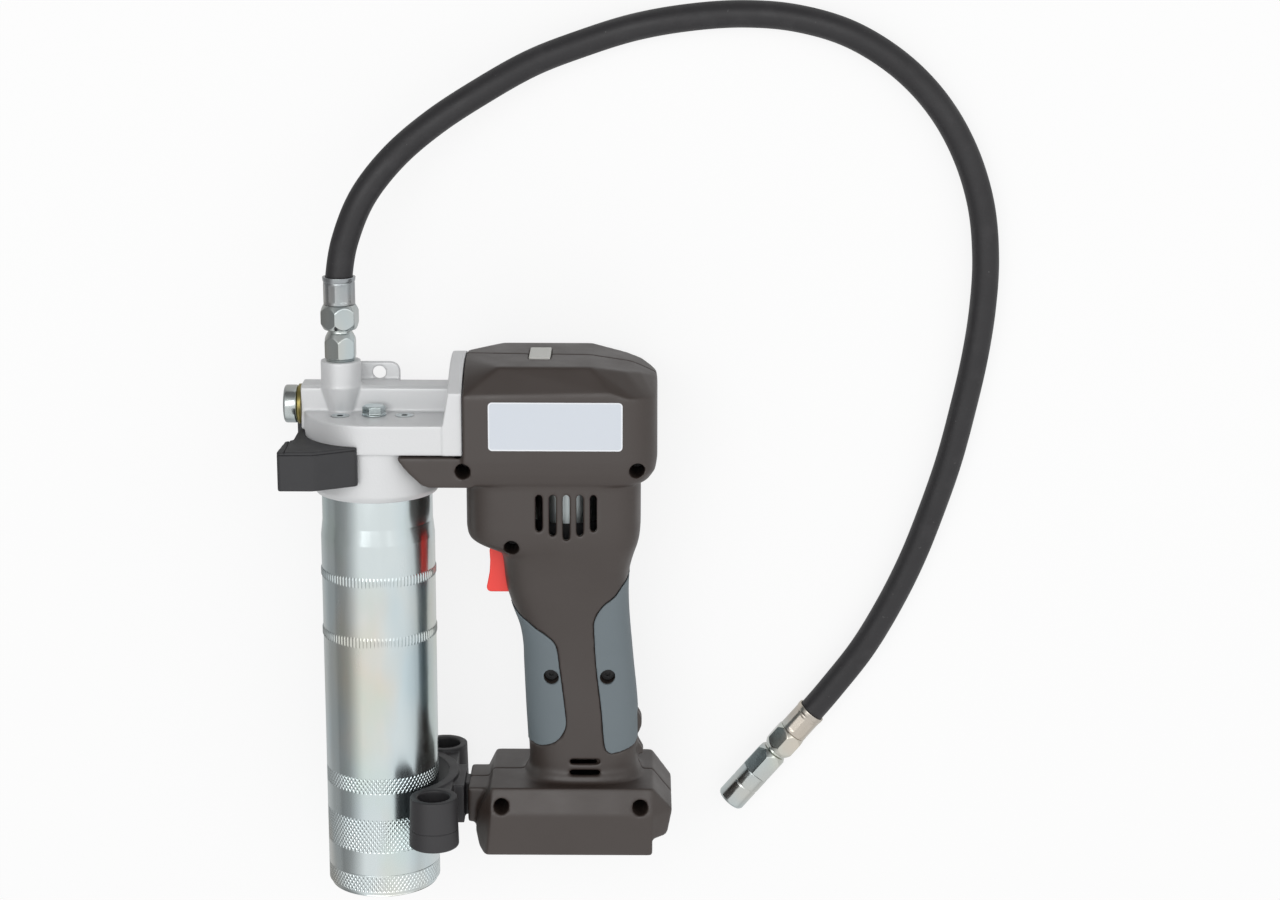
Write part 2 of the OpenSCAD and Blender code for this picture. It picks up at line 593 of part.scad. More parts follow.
function unit(v) = v / norm(v);
function way(p, i) = let (n = len(p) - 1) unit(p[min(i + 1, n)] - p[max(i - 1, 0)]);
function sweep_ring(p, i, r, k) = let (t = way(p, i), u = unit(cross(t, [0, 0, 1])), v = cross(u, t))
    [for (j = [0:k - 1]) p[i] + r * (cos(360 * j / k) * u + sin(360 * j / k) * v)];

module sweep(p, r, k) {
    n = len(p);
    pts = [for (i = [0:n - 1]) each sweep_ring(p, i, r, k)];
    polyhedron(points = pts, faces = concat([[for (j = [0:k - 1]) k - 1 - j],
        [for (j = [0:k - 1]) (n - 1) * k + j]],
        [for (i = [0:n - 2]) for (j = [0:k - 1]) let (a = i * k + j, b = i * k + (j + 1) % k)
            [a, b, b + k]],
        [for (i = [0:n - 2]) for (j = [0:k - 1]) let (a = i * k + j, b = i * k + (j + 1) % k)
            [a, b + k, a + k]]));
}

module at_tip(d) translate([168.5, -64.5, 8.8]) rotate([0, 90, tip_turn]) translate([0, 0, d]) children();
module hex_piece(af, h, c) intersection() {
    hex(af, h);
    cylinder(r1 = af / 2 - c, r2 = af / 2 - c + 2 * h, h = h);
    cylinder(r1 = af / 2 - c + 2 * h, r2 = af / 2 - c, h = h);
}

module hose() color(black) sweep(hose_pts, hose_d / 2, 10);

module hose_ferrule() color(zinc) translate([boss[0], boss[1], fer_z]) difference() {
    union() {
        translate([0, 0, 0.05]) cylinder(r = hose_d / 2 + 1.1, h = 13.6);
        translate([0, 0, 11.4]) cylinder(r1 = hose_d / 2 + 1.1, r2 = hose_d / 2 + 1.5, h = 2.4);
    }
    translate([0, 0, 2]) cylinder(r = hose_d / 2 + 0.08, h = 20);
    translate([0, 0, -1]) cylinder(r = 2.5, h = 20);
}

module hose_nut() color(zinc) translate([boss[0], boss[1], nut_z]) difference() {
    rotate([0, 0, 22]) hex_piece(nut_af, 12.4, 0.2);
    translate([0, 0, -1]) cylinder(r = 6.05, h = 20);
}

module tip_ferrule() color(zinc) at_tip(0) difference() {
    union() {
        cylinder(r1 = hose_d / 2 + 1, r2 = hose_d / 2 + 0.8, h = 4);
        translate([0, 0, 3]) cylinder(r = hose_d / 2 + 0.8, h = 12.3);
    }
    translate([0, 0, -1]) cylinder(r = hose_d / 2 + 0.08, h = 13);
    translate([0, 0, -1]) cylinder(r = 2.5, h = 30);
}

module tip_nut() color(zinc) at_tip(15.35) difference() {
    rotate([0, 0, 10]) hex_piece(15.4, 13.5, 0.9);
    translate([0, 0, -1]) cylinder(r = 2.5, h = 30);
}

module coupler_body() color(zinc) at_tip(28.9) difference() {
    union() {
        cylinder(r = 5.4, h = 3);
        translate([0, 0, 1.4]) rotate([0, 0, 18]) hex_piece(14.8, 15.1, 0.2);
    }
    translate([0, 0, -1]) cylinder(r = 2.5, h = 30);
}

module coupler_sleeve() color(zinc) at_tip(45.45) difference() {
    union() {
        cylinder(r = 7.6, h = 20);
        translate([0, 0, 20]) cylinder(r1 = 7.6, r2 = 6.9, h = 1.2);
    }
    translate([0, 0, 2]) cylinder(r = coupler_bore / 2 + 1.5, h = 30);
    translate([0, 0, -1]) cylinder(r = 2.5, h = 30);
}

module coupler_jaws() color([0.4, 0.4, 0.4]) at_tip(47.5) difference() {
    cylinder(r = coupler_bore / 2 + 1.4, h = 17.6);
    translate([0, 0, 6]) cylinder(r = coupler_bore / 2, h = 30);
    translate([0, 0, -1]) cylinder(r = 2.5, h = 30);
}

lay() hang() barrel_tube();
lay() hang() barrel_end_cap();
lay() hang() barrel_seal();
lay() hang() grease_cartridge();
lay() hang() follower();
lay() pump_head();
lay() outlet_plug();
lay() sealing_washer();
lay() valve_spring();
lay() valve_ball();
lay() pump_piston();
lay() bleed_bolt();
lay() plate_screws();
lay() side_bumper();
lay() outlet_adapter();
lay() gear_case();
lay() motor_can();
lay() motor_endbell();
lay() motor_rotor();
lay() front_housing();
lay() rear_housing();
lay() housing_screws();
lay() grip_pad_front_near();
lay() grip_pad_back_near();
lay() grip_pad_front_far();
lay() grip_pad_back_far();
lay() trigger();
lay() trigger_spring();
lay() switch_body();
lay() top_button();
lay() battery_case();
lay() battery_cells();
lay() hose_holder();
hose();
lay() hose_ferrule();
lay() hose_nut();
tip_ferrule();
tip_nut();
coupler_body();
coupler_sleeve();
coupler_jaws();
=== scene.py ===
"""Looks of the cordless grease gun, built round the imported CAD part.

Shapes are made in the tool frame, in millimetres: x to the right in the photograph, y away from the
camera, z up the barrel, with the barrel's axis at x = y = 0 and its bottom at z = 0. LAY then turns
them onto the floor, in metres, as lay() does in part.scad.
"""

import json
import math

import bmesh
import bpy
from mathutils import Matrix, Vector


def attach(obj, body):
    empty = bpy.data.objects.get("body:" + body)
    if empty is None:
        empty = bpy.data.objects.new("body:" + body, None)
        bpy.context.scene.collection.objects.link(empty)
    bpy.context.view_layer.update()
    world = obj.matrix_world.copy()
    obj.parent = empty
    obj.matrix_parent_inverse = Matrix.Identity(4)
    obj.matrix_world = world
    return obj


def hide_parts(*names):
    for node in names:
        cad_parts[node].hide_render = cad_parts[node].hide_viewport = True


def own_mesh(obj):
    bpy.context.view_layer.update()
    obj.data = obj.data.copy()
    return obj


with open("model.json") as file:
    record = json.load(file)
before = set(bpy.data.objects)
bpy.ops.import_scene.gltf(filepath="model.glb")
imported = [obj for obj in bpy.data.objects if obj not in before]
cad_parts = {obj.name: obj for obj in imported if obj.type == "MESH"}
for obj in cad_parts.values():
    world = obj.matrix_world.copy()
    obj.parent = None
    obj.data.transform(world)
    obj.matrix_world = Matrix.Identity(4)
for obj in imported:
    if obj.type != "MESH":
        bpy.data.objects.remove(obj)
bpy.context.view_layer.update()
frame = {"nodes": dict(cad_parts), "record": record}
nodes = frame["nodes"]

MM = 0.001
TILT_X = math.radians(-2.28)
TILT_Y = math.radians(2.9)
REST = Vector((-51.45, -144.52, 54.57))
TURN = (Matrix.Rotation(TILT_Y, 4, "Y") @ Matrix.Rotation(TILT_X, 4, "X")
        @ Matrix.Rotation(math.radians(-90), 4, "X"))
LAY = Matrix.Scale(MM, 4) @ Matrix.Translation(REST) @ TURN

# Camera of the photograph, in the tool frame
CAMERA_AT = Vector((131.45, -1259.45, 537.15))
CAMERA_PITCH = 0.240
CAMERA_ROLL = 0.004
FOCAL_PX = 2600
IMAGE_WIDTH_PX = 1280
SENSOR_MM = 36


def add_camera():
    sp, cp = math.sin(CAMERA_PITCH), math.cos(CAMERA_PITCH)
    sr, cr = math.sin(CAMERA_ROLL), math.cos(CAMERA_ROLL)
    forward = Vector((0, cp, -sp))
    up = Vector((0, sp, cp))
    side = Vector((1, 0, 0))
    axes = [cr * side + sr * up, cr * up - sr * side, -forward]
    turn = TURN.to_3x3()
    data = bpy.data.cameras.new("camera")
    data.sensor_fit = "HORIZONTAL"
    data.sensor_width = SENSOR_MM
    data.lens = FOCAL_PX * SENSOR_MM / IMAGE_WIDTH_PX
    data.clip_end = 20
    camera = bpy.data.objects.new("camera", data)
    bpy.context.scene.collection.objects.link(camera)
    rotation = Matrix([turn @ a for a in axes]).transposed().to_4x4()
    camera.matrix_world = Matrix.Translation(LAY @ CAMERA_AT) @ rotation
    bpy.context.scene.camera = camera


# Materials

def srgb(r, g, b):
    """A colour written as 0 to 255 in sRGB, as the linear colour that Blender wants."""
    def linear(c):
        c = c / 255
        return c / 12.92 if c <= 0.04045 else ((c + 0.055) / 1.055) ** 2.4
    return (linear(r), linear(g), linear(b), 1)


def map_range(tree, value, low, high, to_low, to_high):
    """A value carried from one range to another and held at its ends."""
    node = tree.nodes.new("ShaderNodeMapRange")
    for name, number in zip(("From Min", "From Max", "To Min", "To Max"), (low, high, to_low, to_high)):
        node.inputs[name].default_value = number
    tree.links.new(value, node.inputs["Value"])
    return node.outputs["Result"]


def maths(tree, operation, a, b):
    node = tree.nodes.new("ShaderNodeMath")
    node.operation = operation
    for value, socket in zip((a, b), node.inputs):
        if isinstance(value, float):
            socket.default_value = value
        else:
            tree.links.new(value, socket)
    return node.outputs[0]


def mix_shaders(tree, share, first, second, output):
    """Shows the first shader where the share is 0 and the second where it is 1."""
    mix = tree.nodes.new("ShaderNodeMixShader")
    for source, socket in zip((share, first, second), mix.inputs):
        tree.links.new(source, socket)
    tree.links.new(mix.outputs[0], tree.nodes[output].inputs["Surface"])


NOISE_ROUGHNESS = 0.55


class Paint:
    """A Principled material with a few procedural layers."""

    def __init__(self, name, colour, roughness, metallic=0.0, specular=0.5):
        self.material = bpy.data.materials.new(name)
        self.material.use_nodes = True
        self.tree = self.material.node_tree
        self.shader = self.tree.nodes["Principled BSDF"]
        self.colour = colour
        self.shader.inputs["Base Color"].default_value = colour
        self.shader.inputs["Roughness"].default_value = roughness
        self.shader.inputs["Metallic"].default_value = metallic
        self.shader.inputs["Specular IOR Level"].default_value = specular
        self.place = self.tree.nodes.new("ShaderNodeTexCoord").outputs["Object"]
        self.base = None
        self.normal = None
        self.material.diffuse_color = colour

    def noise(self, scale, detail=4.0, stretch=(1, 1, 1)):
        mapping = self.tree.nodes.new("ShaderNodeMapping")
        mapping.inputs["Scale"].default_value = stretch
        texture = self.tree.nodes.new("ShaderNodeTexNoise")
        texture.inputs["Scale"].default_value = scale
        texture.inputs["Detail"].default_value = detail
        texture.inputs["Roughness"].default_value = NOISE_ROUGHNESS
        self.tree.links.new(self.place, mapping.inputs["Vector"])
        self.tree.links.new(mapping.outputs["Vector"], texture.inputs["Vector"])
        return texture.outputs["Fac"]

    def between(self, value, low, high, to_low=0.0, to_high=1.0):
        return map_range(self.tree, value, low, high, to_low, to_high)

    def tint(self, factor, colour):
        """Lays a colour over what is there, by the factor."""
        mix = self.tree.nodes.new("ShaderNodeMix")
        mix.data_type = "RGBA"
        self.tree.links.new(factor, mix.inputs["Factor"])
        under, over = [socket for socket in mix.inputs if socket.type == "RGBA"]
        under.default_value = self.colour
        over.default_value = colour
        if self.base:
            self.tree.links.new(self.base, under)
        self.base = [s for s in mix.outputs if s.type == "RGBA"][0]
        self.tree.links.new(self.base, self.shader.inputs["Base Color"])

    def rough(self, value):
        self.tree.links.new(value, self.shader.inputs["Roughness"])

    def bump(self, height, strength, distance):
        node = self.tree.nodes.new("ShaderNodeBump")
        node.inputs["Strength"].default_value = strength
        node.inputs["Distance"].default_value = distance
        self.tree.links.new(height, node.inputs["Height"])
        if self.normal:
            self.tree.links.new(self.normal, node.inputs["Normal"])
        self.normal = node.outputs["Normal"]
        self.tree.links.new(self.normal, self.shader.inputs["Normal"])


def plastic(name, colour, roughness=0.55, grain=0.12, specular=0.5):
    """Moulded plastic with a fine spark-eroded grain and faint handling marks."""
    paint = Paint(name, colour, roughness, specular=specular)
    paint.rough(paint.between(paint.noise(60), 0.3, 0.7, roughness - 0.05, roughness + 0.06))
    paint.bump(paint.noise(2600, 2), grain, 0.0002)
    return paint


def zinc(name, roughness=0.2, colour=srgb(217, 226, 227)):
    """Bright zinc plating with a faint yellow and blue passivation and drawn streaks."""
    paint = Paint(name, colour, roughness, metallic=1.0)
    paint.tint(paint.between(paint.noise(16, 3, (1, 0.6, 1)), 0.46, 0.66, 0, 0.6), srgb(230, 214, 192))
    paint.tint(paint.between(paint.noise(23, 2, (1, 0.4, 1)), 0.48, 0.66, 0, 0.65), srgb(190, 210, 218))
    paint.tint(paint.between(paint.noise(31, 4, (1, 0.5, 1)), 0.52, 0.7, 0, 0.5), srgb(206, 222, 212))
    streaks = paint.noise(40, 5, (6, 0.5, 6))
    paint.rough(paint.between(streaks, 0.3, 0.7, roughness - 0.05, roughness + 0.08))
    return paint


def make_materials():
    housing = plastic("housing_plastic", srgb(52, 42, 37), 0.46, specular=0.8)
    pads = plastic("soft_grip", srgb(108, 118, 123), 0.66, 0.2)
    rubber = plastic("bumper_rubber", srgb(52, 52, 54), 0.62, 0.3)
    holder = plastic("holder_plastic", srgb(50, 49, 51), 0.5)
    inner = plastic("inner_plastic", srgb(38, 38, 40), 0.6)
    trigger = plastic("trigger_plastic", srgb(250, 72, 64), 0.42)
    button = plastic("button_plastic", srgb(206, 206, 201), 0.5)
    cast = Paint("cast_aluminium", srgb(219, 220, 221), 0.42, metallic=0.3)
    cast.bump(cast.noise(900, 3), 0.25, 0.0003)
    cast.rough(cast.between(cast.noise(80), 0.3, 0.7, 0.4, 0.52))
    hose = Paint("hose_rubber", srgb(40, 39, 41), 0.5, specular=0.45)
    hose.tint(hose.between(hose.noise(90, 5), 0.55, 0.8, 0, 0.25), srgb(74, 72, 74))
    hose.tint(hose.between(hose.noise(420, 3), 0.7, 0.78, 0, 0.35), srgb(120, 118, 118))
    hose.rough(hose.between(hose.noise(50), 0.3, 0.7, 0.42, 0.6))
    hose.bump(hose.noise(700, 4), 0.25, 0.0004)
    label = Paint("label_film", srgb(212, 218, 226), 0.35)
    label_edge = Paint("label_edge", srgb(236, 239, 243), 0.4)
    washer = Paint("washer_brass", srgb(150, 138, 84), 0.35, metallic=0.9)
    screw = Paint("black_screw", srgb(26, 26, 28), 0.45)
    copper = Paint("rotor_copper", srgb(150, 108, 78), 0.4, metallic=0.8)
    motor = zinc("motor_steel", 0.3)
    cell = Paint("cell_wrap", srgb(64, 104, 150), 0.4)
    card = Paint("cartridge_plastic", srgb(222, 224, 218), 0.45)
    follower = Paint("follower_plastic", srgb(186, 54, 42), 0.45)
    return {
        "housing": housing, "pads": pads, "bumper": rubber, "holder": holder, "inner": inner,
        "trigger": trigger, "button": button, "cast": cast, "hose": hose, "label": label,
        "label_edge": label_edge, "washer": washer, "screw": screw, "rotor": copper, "motor": motor,
        "cell": cell, "cartridge": card, "follower": follower,
        "zinc": zinc("zinc_plate"), "crimp": zinc("crimp_zinc", 0.24, srgb(162, 165, 168)),
        "fitting": zinc("fitting_zinc", 0.16, srgb(186, 194, 195)),
    }


# Mesh tools

def link(name, mesh):
    piece = bpy.data.objects.new(name, mesh)
    bpy.context.scene.collection.objects.link(piece)
    return piece


def solid(points, faces):
    mesh = bpy.data.meshes.new("work")
    mesh.from_pydata([tuple(p) for p in points], [], faces)
    mesh.validate()
    tidy = bmesh.new()
    tidy.from_mesh(mesh)
    bmesh.ops.recalc_face_normals(tidy, faces=tidy.faces)
    tidy.to_mesh(mesh)
    tidy.free()
    return link("work", mesh)


def hull(points):
    shape = bmesh.new()
    for p in points:
        shape.verts.new(p)
    made = bmesh.ops.convex_hull(shape, input=shape.verts)
    bmesh.ops.delete(shape, geom=list(set(made["geom_interior"] + made["geom_unused"])), context="VERTS")
    bmesh.ops.recalc_face_normals(shape, faces=shape.faces)
    mesh = bpy.data.meshes.new("work")
    shape.to_mesh(mesh)
    shape.free()
    return link("work", mesh)


def loft(rings):
    """A closed skin through rings of equal length, with flat ends."""
    n = len(rings[0])
    points = [p for ring in rings for p in ring]
    faces = [list(range(n)), [(len(rings) - 1) * n + i for i in range(n)]]
    for k in range(len(rings) - 1):
        for i in range(n):
            j = (i + 1) % n
            faces.append((k * n + i, k * n + j, (k + 1) * n + j, (k + 1) * n + i))
    return solid(points, faces)


def wrap(points, sides):
    """A closed skin over rings of points, with the last ring joined to the first."""
    count = len(points) // sides
    faces = []
    for k in range(count):
        m = (k + 1) % count
        for i in range(sides):
            j = (i + 1) % sides
            faces.append((k * sides + i, k * sides + j, m * sides + j, m * sides + i))
    return solid(points, faces)


def box(low, high):
    xs, ys, zs = zip(low, high)
    return hull([(x, y, z) for x in xs for y in ys for z in zs])


def rod(start, end, r1, r2=None, sides=64):
    """A round bar or cone between two points."""
    start, end = Vector(start), Vector(end)
    r2 = r1 if r2 is None else r2
    turn = (end - start).to_track_quat("Z", "Y")
    rings = []
    for centre, r in ((start, r1), (end, r2)):
        rings.append([centre + turn @ Vector((r * math.cos(2 * math.pi * i / sides),
                                              r * math.sin(2 * math.pi * i / sides), 0))
                      for i in range(sides)])
    return loft(rings)


def plate(outline, y0, y1):
    """An outline in x and z, carried along y."""
    return loft([[(x, y, z) for x, z in outline] for y in (y0, y1)])


def apply(piece, kind, **settings):
    modifier = piece.modifiers.new(kind, kind)
    for key, value in settings.items():
        setattr(modifier, key, value)
    graph = bpy.context.evaluated_depsgraph_get()
    mesh = bpy.data.meshes.new_from_object(piece.evaluated_get(graph))
    piece.modifiers.clear()
    piece.data = mesh
    return piece


def combine(piece, other, operation):
    apply(piece, "BOOLEAN", object=other, operation=operation, solver="MANIFOLD")
    bpy.data.objects.remove(other)
    return piece


def cut(piece, *others):
    for other in others:
        combine(piece, other, "DIFFERENCE")
    return piece


def keep(piece, other):
    return combine(piece, other, "INTERSECT")


def join(*others):
    first = others[0]
    for other in others[1:]:
        combine(first, other, "UNION")
    return first


def copy(piece):
    return link("work", piece.data.copy())


def soften(piece, voxel, rounds):
    """Re-meshes a shape evenly and rounds its edges, as a moulding or casting has them."""
    apply(piece, "REMESH", mode="VOXEL", voxel_size=voxel, use_smooth_shade=True)
    apply(piece, "SMOOTH", factor=0.5, iterations=rounds)
    return piece


def place(piece, name, body, paint, replaced=(), matrix=LAY):
    """Names a finished shape, lays it in the row frame and hangs it on its CAD body."""
    piece.name = name
    piece.data.name = name
    piece.data.transform(matrix)
    piece.data.shade_smooth()
    piece.data.materials.clear()
    piece.data.materials.append(paint.material)
    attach(piece, body)
    if replaced:
        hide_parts(*replaced)
    return piece


def smooth_through(points, closed=False, steps=6):
    """A Catmull-Rom curve through points of any dimension."""
    n = len(points)
    out = []
    spans = n if closed else n - 1
    for i in range(spans):
        p = [Vector(points[k % n] if closed else points[min(max(k, 0), n - 1)])
             for k in range(i - 1, i + 3)]
        for s in range(steps):
            t = s / steps
            out.append(0.5 * (2 * p[1] + t * (p[2] - p[0])
                              + t * t * (2 * p[0] - 5 * p[1] + 4 * p[2] - p[3])
                              + t * t * t * (3 * p[1] - p[0] - 3 * p[2] + p[3])))
    if not closed:
        out.append(Vector(points[-1]))
    return out


# Housing

HOUSING_X = 45.5
WALL = 3.0
HEAD_HALF = 38
CORNER_R = 17
# Sections of the neck and grip, from part.scad: height, left edge, right edge, half width, squareness
GRIP = [[195, HOUSING_X, 132, 34.5, 4.6], [189.5, 46.8, 131.6, 34, 4.6], [186.3, 51.5, 131, 33.2, 4.6],
        [183.8, 57.5, 130.3, 32.2, 4.5], [181.3, 62, 129.4, 31.3, 4.4], [175, 63.4, 127.6, 29.2, 4.1],
        [168, 63.9, 126.2, 27.2, 3.8], [160, 65, 125.7, 25.4, 3.5], [150, 68, 125.8, 23.4, 3.2],
        [140, 71.4, 126.4, 21.6, 3], [130, 73, 127.3, 20.5, 2.8], [119, 73.4, 128.3, 20, 2.7],
        [97, 74.3, 130.4, 20, 2.7], [80, 75.2, 130.9, 20, 2.7], [70, 75.6, 131, 20.2, 2.7],
        [65.4, 75.4, 131.1, 20.4, 2.7], [63.4, 74, 132.4, 21.8, 2.7], [59.6, 73.4, 133, 22.4, 2.7]]
# Sections of the foot: height, left edge, right edge, half width, corner cuts left, right and across
FOOT = [[60.5, 57, 138.5, 29, 0.5, 0.5, 0.5], [48, 50.5, 148.5, 34, 6.7, 10.5, 9],
        [36, 48.8, 146.4, 33, 7.2, 8.8, 10], [28, 50.6, 143, 32, 4.5, 5, 7], [25, 53, 139.5, 30.8, 1.4, 2, 2.5]]
SHOULDER = [(124.4, 24, 274), (126.6, 0, 274.4), (131.75, 18, 272.4), (136.9, 12, 269.8), (139.4, 8, 268),
            (139.5, 0, 268.8), (140, 0, 265.5)]
SCREWS = [(45.4, 226.6), (130, 227), (68.5, 187), (87.3, 116), (115.6, 116), (62.4, 51.8), (132.2, 51.4)]
WELL_R = 3.8
PAD_FRONT = [(60, 152), (72.8, 146.7), (79.8, 141.5), (85.3, 137.9), (89.8, 132.6), (91.7, 120),
             (94.2, 99.4), (94.7, 90.3), (92.1, 84.4), (88.1, 80.7), (81.5, 78.5), (77.4, 79), (60, 81)]
PAD_BACK = [(140, 178), (125.2, 166.2), (119.3, 158.9), (113.3, 154.2), (109.3, 147.4), (108.8, 140.6),
            (109.8, 121.7), (112.3, 99.4), (113.8, 81.3), (115.9, 76), (120.4, 75.5), (129, 77.6),
            (131, 79.8), (140, 86)]
MOTOR_X = 95.5
VENT_W = 3.3
VENT_PITCH = 6.65
VENT_LOW = 193
VENT_STEP = 2.25
VENT_TOP = 212.8
GRIP_SLOTS_Z = (71.2, 65.6)
CASE_Z = 232
COLLAR_R = 32
TRIGGER_HALF = 8.2
TRIGGER_SLOT = [(45, 157.1), (77, 157.1), (77, 182.9), (67.3, 182.9), (63.2, 184.5), (45, 184.5)]
STRAP_ROOM = ((120, -5.2, 69), (140, 5.2, 93))
STRAP_LUGS = [[(126, 92), (131.6, 92), (132.9, 89), (132.9, 85), (131.6, 82), (126, 82)],
              [(126, 76), (131.5, 76), (134, 71.5), (134, 70), (126, 70)]]
STRAP_HALF = 5
RAIL = ((44.6, -17.5, 37.5), (55, 17.5, 56.2))
RAIL_SLOTS = [((44, -7.2, 37), (47, 7.2, 55)), ((46.2, -11.2, 37), (48.6, 11.2, 55))]
PACK_ROOM = ((57.3, -28.2, 20), (136.7, 28.2, 47))
GEAR_ROOM = ((30, -29.2, CASE_Z - 0.2), (122.2, 29.2, CASE_Z + 34.2))
BUTTON_ROOM = ((76.55, -12.2, 255), (87.45, 12.2, 285))
FOOT_STEP = ((138.5, -60, 20), (160, 60, 34))
ARM = [(13.2, 233.4), (50, 233.4), (50, 218), (28.5, 218), (25, 219.4), (19, 225), (14.2, 231)]
PLATEAU_Z = 277.4
PLATEAU_HALF = 30
ARCH_R = 58
ARCH_Z = 220.1
HOUSING_VOXEL = 0.85


def ring(section, inset=0.0, sides=96):
    z, left, right, half, power = section
    middle, reach = (left + right) / 2, (right - left) / 2 - inset
    out = []
    for i in range(sides):
        c, s = math.cos(2 * math.pi * i / sides), math.sin(2 * math.pi * i / sides)
        out.append((middle + reach * math.copysign(abs(c) ** (2 / power), c),
                    (half - inset) * math.copysign(abs(s) ** (2 / power), s), z))
    return out


def finer(sections, step=2.0):
    """Sections on a smooth curve through the given ones, by height."""
    out = []
    last = len(sections) - 1
    for i in range(last):
        a, b = sections[i], sections[i + 1]
        before, after = sections[max(i - 1, 0)], sections[min(i + 2, last)]
        rise = b[0] - a[0]
        count = max(2, round(abs(rise) / step))
        for k in range(count):
            t = k / count
            h = [2 * t ** 3 - 3 * t * t + 1, t ** 3 - 2 * t * t + t, 3 * t * t - 2 * t ** 3, t ** 3 - t * t]
            row = [a[0] + rise * t]
            for j in range(1, 5):
                slope_a = (b[j] - before[j]) / (b[0] - before[0]) * rise
                slope_b = (after[j] - a[j]) / (after[0] - a[0]) * rise
                row.append(h[0] * a[j] + h[1] * slope_a + h[2] * b[j] + h[3] * slope_b)
            out.append(row)
    out.append(sections[last])
    return out


def grip_solid(inset=0.0):
    return loft([ring(s, inset) for s in finer(GRIP)])


def neck_solid(top, inset=0.0):
    return loft([ring([z] + GRIP[0][1:], inset) for z in (GRIP[0][0] - 0.5, top)])


def head_plan(z, right, half, radius, left):
    out = [(left, -half, z), (left, half, z)]
    for i in range(25):
        a = math.pi / 2 * i / 24
        for side in (-1, 1):
            y = half - radius + radius * math.cos(a)
            out.append((right - radius + radius * math.sin(a), side * y, z))
    return out


def head_solid(inset, left):
    d = inset
    points = (head_plan(218.6 + d * 1.2, 133 - d, HEAD_HALF - 3.4 - d, 14 - d, left)
              + head_plan(220.6 + d, 136 - d, HEAD_HALF - 1.8 - d, 16 - d, left)
              + head_plan(225 + d * 0.5, 139 - d, HEAD_HALF - 0.5 - d, 16.5 - d, left)
              + head_plan(231, 140 - d, HEAD_HALF - d, CORNER_R - d, left)
              + head_plan(263, 139.6 - d, HEAD_HALF - d, CORNER_R - d, left))
    for side in (-1, 1):
        points.append((63, side * (PLATEAU_HALF - d / 2), PLATEAU_Z - d))
        points.append((107 - d, side * (PLATEAU_HALF - d / 2), PLATEAU_Z - d))
        points.append((118, side * (HEAD_HALF - d), 265.5 - d))
        points += [(x - d, side * y, z - d) for x, y, z in SHOULDER]
    for i in range(-24, 25):
        y = i / 24 * (HEAD_HALF - d)
        points.append((left, y, math.sqrt(ARCH_R * ARCH_R - y * y) + ARCH_Z - d))
    return hull(points)


def octagon(section):
    z, left, right, half, cut_left, cut_right, across = section
    corners = [(left + cut_left, -half), (right - cut_right, -half),
               (right, across - half), (right, half - across),
               (right - cut_right, half), (left + cut_left, half),
               (left, half - across), (left, across - half)]
    return [(x, y, z) for x, y in corners]


def arm_solid():
    """The two arms that hold the casting's collar."""
    return cut(plate(ARM, -36, 36), rod((0, 0, 190), (0, 0, 260), COLLAR_R + 0.2, sides=128),
               box((0, -29, 190), (38, 29, 250)))


def slot_bar(x0, z0, x1, z1, width, y0, y1):
    """A round-ended slot through y."""
    outline = []
    across = (x1 - x0, z1 - z0)
    lead = math.atan2(across[1], across[0])
    for centre, start in (((x1, z1), lead - math.pi / 2), ((x0, z0), lead + math.pi / 2)):
        for i in range(13):
            a = start + math.pi * i / 12
            outline.append((centre[0] + width / 2 * math.cos(a), centre[1] + width / 2 * math.sin(a)))
    return plate(outline, y0, y1)


def pad_outline(points, grow):
    """The pad's smooth outline, offset by grow."""
    curve = smooth_through(points, closed=True, steps=5)
    n = len(curve)
    area = sum(curve[i][0] * curve[(i + 1) % n][1] - curve[(i + 1) % n][0] * curve[i][1] for i in range(n))
    way = 1 if area > 0 else -1
    out = []
    for i in range(n):
        t = (curve[(i + 1) % n] - curve[i - 1]).normalized()
        out.append((curve[i][0] + way * grow * t[1], curve[i][1] - way * grow * t[0]))
    return out


def pad_band(points, grow, inner, outer):
    """The part of the grip's skin inside a pad's outline, between two insets."""
    band = keep(grip_solid(outer), plate(pad_outline(points, grow), -60, 60))
    return cut(band, grip_solid(inner), box((40, -60, 40), (160, 60, 68)))


